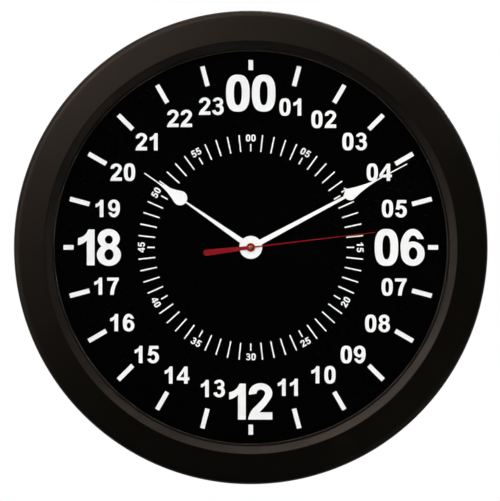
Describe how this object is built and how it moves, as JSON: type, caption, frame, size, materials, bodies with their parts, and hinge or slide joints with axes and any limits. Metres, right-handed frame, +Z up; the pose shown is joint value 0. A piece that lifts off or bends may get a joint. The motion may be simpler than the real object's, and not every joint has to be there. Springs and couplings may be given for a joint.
{
  "type": "twenty-four hour wall clock",
  "caption": "Round black wall clock with a full-day dial, white hands, red sweep second hand, flat lens, moulded case and a battery quartz movement.",
  "frame": {"origin": "the dial axis where it meets the wall plane, behind the middle of the case", "axes": "+Y points into the wall, so the clock looks towards -Y; +Z is up; +X is to the viewer's right"},
  "size_m": [0.356, 0.0432, 0.356],
  "materials": {
    "case_plastic": "satin",
    "lens_glass": "gloss",
    "dial_paint": "matte",
    "dial_print": "matte",
    "board_plastic": "matte",
    "zinc_steel": "satin",
    "movement_plastic": "satin",
    "gear_plastic": "satin",
    "motor_steel": "satin",
    "magnet": "satin",
    "copper_winding": "satin",
    "circuit": "satin",
    "cell_jacket": "satin",
    "brass": "satin",
    "rubber": "matte",
    "hand_white": "satin",
    "hand_red": "satin",
    "knob_plastic": "satin"
  },
  "bodies": {
    "case": {"bezel": "case_plastic", "lens": "lens_glass", "spacer_ring": "case_plastic", "dial": "dial_paint", "back_board": "board_plastic", "back_screw_1": "zinc_steel", "back_screw_2": "zinc_steel", "back_screw_3": "zinc_steel", "back_screw_4": "zinc_steel", "back_screw_5": "zinc_steel", "back_screw_6": "zinc_steel", "hanger_plate": "zinc_steel", "hanger_spacer_1": "case_plastic", "hanger_spacer_2": "case_plastic", "hanger_screw_1": "zinc_steel", "hanger_screw_2": "zinc_steel", "movement_case": "movement_plastic", "movement_cover": "movement_plastic", "gear_bridge": "gear_plastic", "stator": "motor_steel", "coil_core": "motor_steel", "coil": "copper_winding", "circuit_board": "circuit", "quartz_crystal": "zinc_steel", "battery_contact_positive": "zinc_steel", "battery_contact_negative": "zinc_steel", "rubber_washer": "rubber", "brass_washer": "brass", "hex_nut": "brass"},
    "minute_hand": {"minute_hand": "hand_white", "minute_hand_bush": "brass", "centre_wheel": "gear_plastic"},
    "hour_hand": {"hour_hand": "hand_white", "hour_hand_bush": "brass", "hour_wheel": "gear_plastic"},
    "second_hand": {"second_hand": "hand_red", "second_hand_bush": "brass", "second_wheel": "gear_plastic"},
    "third_wheel": {"third_wheel": "gear_plastic"},
    "minute_wheel": {"minute_wheel": "gear_plastic", "setting_knob": "knob_plastic"},
    "intermediate_wheel": {"intermediate_wheel": "gear_plastic"},
    "rotor": {"rotor": "magnet"},
    "battery": {"battery": "cell_jacket"}
  },
  "joints": [
    {"name": "minute_hand_turn", "type": "hinge", "parent": "case", "child": "minute_hand", "pos_m": [0, -0.0299, 0], "axis": [0, 1, 0], "continuous": true},
    {"name": "hour_hand_turn", "type": "hinge", "parent": "case", "child": "hour_hand", "pos_m": [0, -0.0279, 0], "axis": [0, 1, 0], "continuous": true},
    {"name": "second_hand_turn", "type": "hinge", "parent": "case", "child": "second_hand", "pos_m": [0, -0.0319, 0], "axis": [0, 1, 0], "continuous": true},
    {"name": "third_wheel_turn", "type": "hinge", "parent": "case", "child": "third_wheel", "pos_m": [-0.01103, -0.0094, 0.00194], "axis": [0, 1, 0], "continuous": true},
    {"name": "minute_wheel_turn", "type": "hinge", "parent": "case", "child": "minute_wheel", "pos_m": [0.0097, -0.012, 0.0056], "axis": [0, 1, 0], "continuous": true},
    {"name": "intermediate_wheel_turn", "type": "hinge", "parent": "case", "child": "intermediate_wheel", "pos_m": [-0.00194, -0.0068, 0.01103], "axis": [0, 1, 0], "continuous": true},
    {"name": "rotor_turn", "type": "hinge", "parent": "case", "child": "rotor", "pos_m": [0.00171, -0.0095, 0.01735], "axis": [0, 1, 0], "continuous": true},
    {"name": "battery_slide", "type": "slide", "parent": "case", "child": "battery", "axis": [0, 1, 0], "range_m": [0, 0.025]}
  ],
  "couplings": [
    {"joint": "second_hand_turn", "follows": "minute_hand_turn", "ratio": 60},
    {"joint": "hour_hand_turn", "follows": "minute_hand_turn", "ratio": 0.041667},
    {"joint": "third_wheel_turn", "follows": "minute_hand_turn", "ratio": -8},
    {"joint": "minute_wheel_turn", "follows": "minute_hand_turn", "ratio": -0.25},
    {"joint": "intermediate_wheel_turn", "follows": "minute_hand_turn", "ratio": -300},
    {"joint": "rotor_turn", "follows": "minute_hand_turn", "ratio": 1800}
  ]
}
